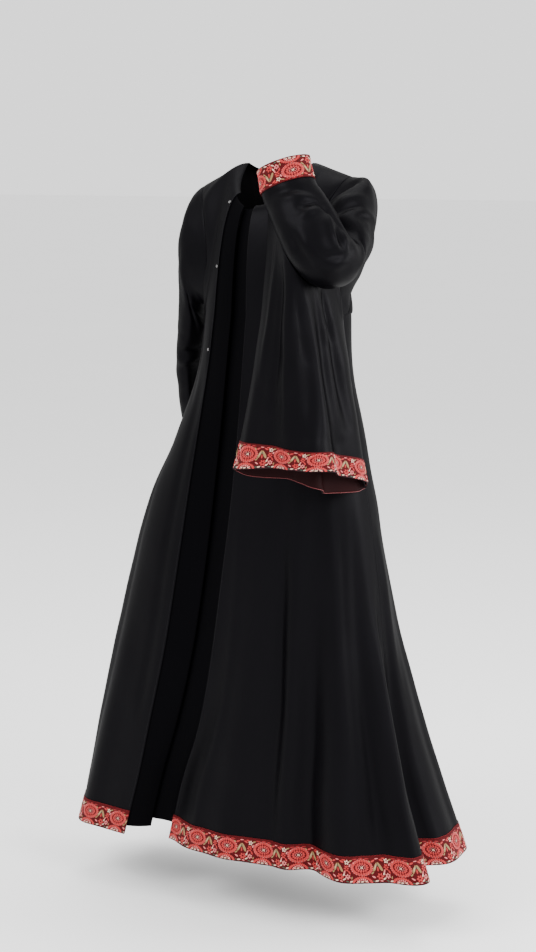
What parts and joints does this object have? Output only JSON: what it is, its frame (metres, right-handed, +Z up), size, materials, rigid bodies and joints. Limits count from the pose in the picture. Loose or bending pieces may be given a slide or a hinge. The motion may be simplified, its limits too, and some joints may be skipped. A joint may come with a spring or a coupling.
{
  "type": "abaya",
  "caption": "Black crepe satin front-opening abaya with hanging sleeve drops and red rosette tape along hem, cuffs and drops.",
  "frame": {"origin": "on the body's centre plane between the shoulder tips, where the garment is held", "axes": "+Z up, the wearer faces -Y and their left is +X"},
  "size_m": [0.8324, 0.5488, 1.3847],
  "materials": {
    "cloth": "satin",
    "underlap": "matte",
    "tape": "woven",
    "stud": "polished"
  },
  "bodies": {
    "root": {"front_right": "cloth", "front_left": "cloth", "back": "cloth", "right_underlap": "underlap", "left_underlap": "underlap", "sleeve_left": "cloth", "sleeve_right": "cloth", "drop_left_front": "cloth", "drop_left_back": "cloth", "drop_right_front": "cloth", "drop_right_back": "cloth", "hem_tape_front_right": "tape", "hem_tape_front_left": "tape", "hem_tape_back": "tape", "cuff_tape_left": "tape", "cuff_tape_right": "tape", "drop_tape_left_front": "tape", "drop_tape_left_back": "tape", "drop_tape_right_front": "tape", "drop_tape_right_back": "tape", "press_stud_top": "stud", "press_stud_middle": "stud", "press_stud_low": "stud"}
  },
  "joints": []
}
